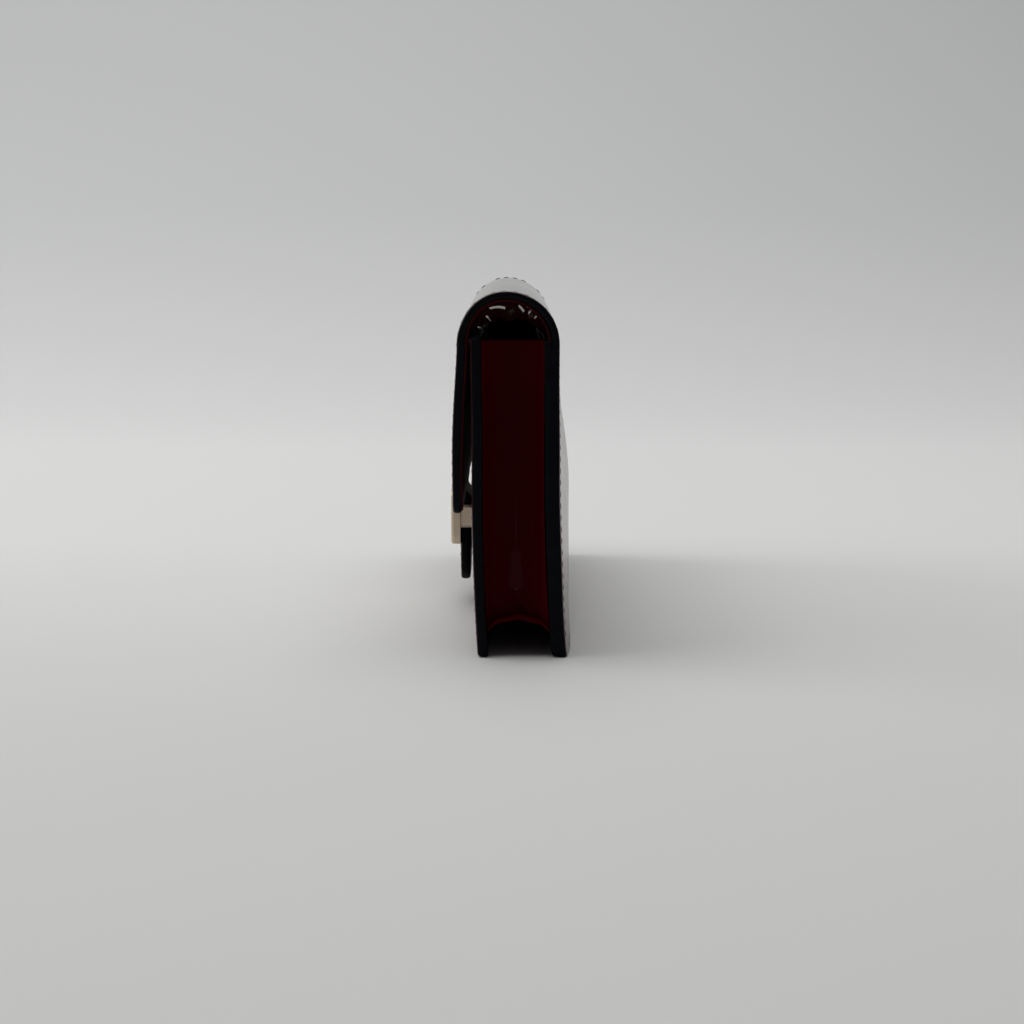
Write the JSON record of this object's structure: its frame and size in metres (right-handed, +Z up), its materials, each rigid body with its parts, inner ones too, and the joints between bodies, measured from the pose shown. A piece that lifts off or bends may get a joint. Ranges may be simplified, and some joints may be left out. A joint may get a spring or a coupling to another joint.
{
  "type": "long_wallet",
  "caption": "Long wallet in dark red patent leather with black painted edges, a flap that arches over the top and a pale gold metal clasp on its tongue.",
  "frame": {"origin": "middle of the wallet's footprint on the surface it stands on", "axes": "X along the length, -Y the side with the flap and clasp, +Z up"},
  "size_m": [0.19, 0.0364, 0.1],
  "materials": {
    "patent_leather": "glossy patent, black painted edges",
    "lining_leather": "smooth, semi-gloss",
    "board": "pressed fibre board",
    "foam": "thin foam",
    "magnet": "nickel plated",
    "zip_tape": "woven tape",
    "zip_metal": "pale gold plated",
    "clasp_metal": "pale gold plated, satin"
  },
  "bodies": {
    "body": {"back_cover": "patent_leather", "cover_root": "patent_leather", "lining_root": "lining_leather", "back_padding": "foam", "back_stiffener": "board", "back_lining": "lining_leather", "front_cover": "patent_leather", "front_stiffener": "board", "front_lining": "lining_leather", "front_magnets": "magnet", "side_gusset_left": "patent_leather", "side_gusset_right": "patent_leather", "bottom_gusset": "patent_leather", "card_slot_1": "lining_leather", "card_slot_2": "lining_leather", "card_slot_3": "lining_leather", "card_slot_4": "lining_leather", "coin_pocket_front": "lining_leather", "coin_pocket_back": "lining_leather", "coin_pocket_base": "lining_leather", "coin_pocket_end_left": "lining_leather", "coin_pocket_end_right": "lining_leather", "zipper_tape_front": "zip_tape", "zipper_tape_back": "zip_tape", "zipper_teeth_front": "zip_metal", "zipper_teeth_back": "zip_metal", "zipper_stops": "zip_metal"},
    "bend_1": {"cover_bend_1": "patent_leather", "lining_bend_1": "lining_leather"},
    "bend_2": {"cover_bend_2": "patent_leather", "lining_bend_2": "lining_leather"},
    "flap": {"flap_cover": "patent_leather", "flap_stiffener": "board", "flap_lining": "lining_leather", "clasp_plate": "clasp_metal", "clasp_sleeve": "clasp_metal", "clasp_screws": "clasp_metal"},
    "slider": {"zipper_slider": "zip_metal", "zipper_pull_pin": "zip_metal"},
    "pull": {"zipper_pull": "zip_metal"}
  },
  "joints": [
    {"name": "flap_bend_1", "type": "hinge", "parent": "body", "child": "bend_1", "pos_m": [0, 0.01155, 0.09273], "axis": [-1, 0, 0], "range_deg": [0, 62]},
    {"name": "flap_bend_2", "type": "hinge", "parent": "bend_1", "child": "bend_2", "pos_m": [0, -0.00105, 0.1], "axis": [-1, 0, 0], "range_deg": [0, 62]},
    {"name": "flap_bend_3", "type": "hinge", "parent": "bend_2", "child": "flap", "pos_m": [0, -0.01365, 0.09273], "axis": [-1, 0, 0], "range_deg": [0, 62]},
    {"name": "zip_slide", "type": "slide", "parent": "body", "child": "slider", "axis": [-1, 0, 0], "range_m": [0, 0.126]},
    {"name": "zip_pull_swing", "type": "hinge", "parent": "slider", "child": "pull", "pos_m": [0.066, 0, 0.0758], "axis": [0, 1, 0], "range_deg": [0, 170]}
  ],
  "couplings": [
    {"joint": "flap_bend_2", "follows": "flap_bend_1", "ratio": 1},
    {"joint": "flap_bend_3", "follows": "flap_bend_1", "ratio": 1}
  ]
}
